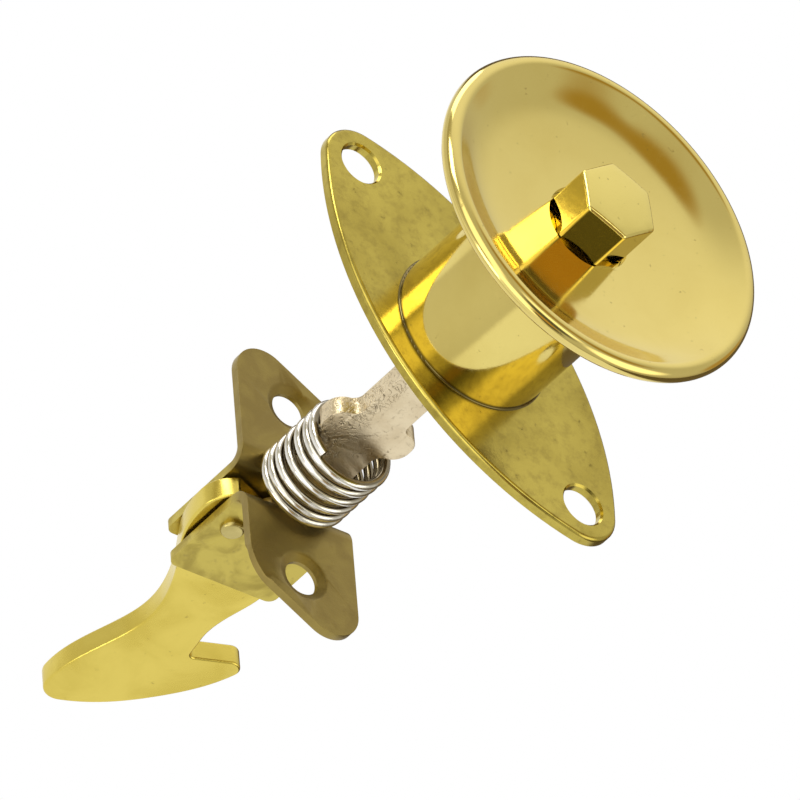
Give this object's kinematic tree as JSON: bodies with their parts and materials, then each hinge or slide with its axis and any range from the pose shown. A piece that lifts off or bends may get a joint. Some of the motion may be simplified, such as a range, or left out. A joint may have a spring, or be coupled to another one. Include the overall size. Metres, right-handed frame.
{
  "type": "pushbutton latch",
  "caption": "Push-button door latch: hexagonal button in a round dish on a pointed-oval flange, with a sprung bar that swings a brass hook held between two brackets.",
  "frame": {"origin": "on the button's axis at the mounting flange's back face, which lies on the door's front face", "axes": "+Z along the button's axis, out of the door; +X the way the hook's barb points; the hook's pivot lies along Y"},
  "size_m": [0.035, 0.0384, 0.0866],
  "materials": {
    "polished_brass": "polished",
    "aged_brass": "satin",
    "plated_steel": "satin",
    "spring_steel": "satin"
  },
  "bodies": {
    "root": {"dish": "polished_brass", "neck_sleeve": "polished_brass", "mounting_flange": "polished_brass", "upper_bracket": "aged_brass", "lower_bracket": "aged_brass", "pivot_rivet": "aged_brass", "coil_spring": "spring_steel"},
    "plunger": {"push_button": "polished_brass", "bar_pin": "plated_steel", "push_bar": "plated_steel"},
    "hook_plate": {"hook": "polished_brass"}
  },
  "joints": [
    {"name": "button_press", "type": "slide", "parent": "root", "child": "plunger", "axis": [0, 0, -1], "range_m": [0, 0.0022], "stiffness_N_per_m": 400, "springref_m": -0.004, "deforming": ["coil_spring"]},
    {"name": "hook_swing", "type": "hinge", "parent": "root", "child": "hook_plate", "pos_m": [-0.0038, 0, -0.0315], "axis": [0, 1, 0], "range_deg": [0, 32.49]}
  ],
  "couplings": [
    {"joint": "hook_swing", "follows": "button_press", "rad_per_m": 256.16}
  ]
}
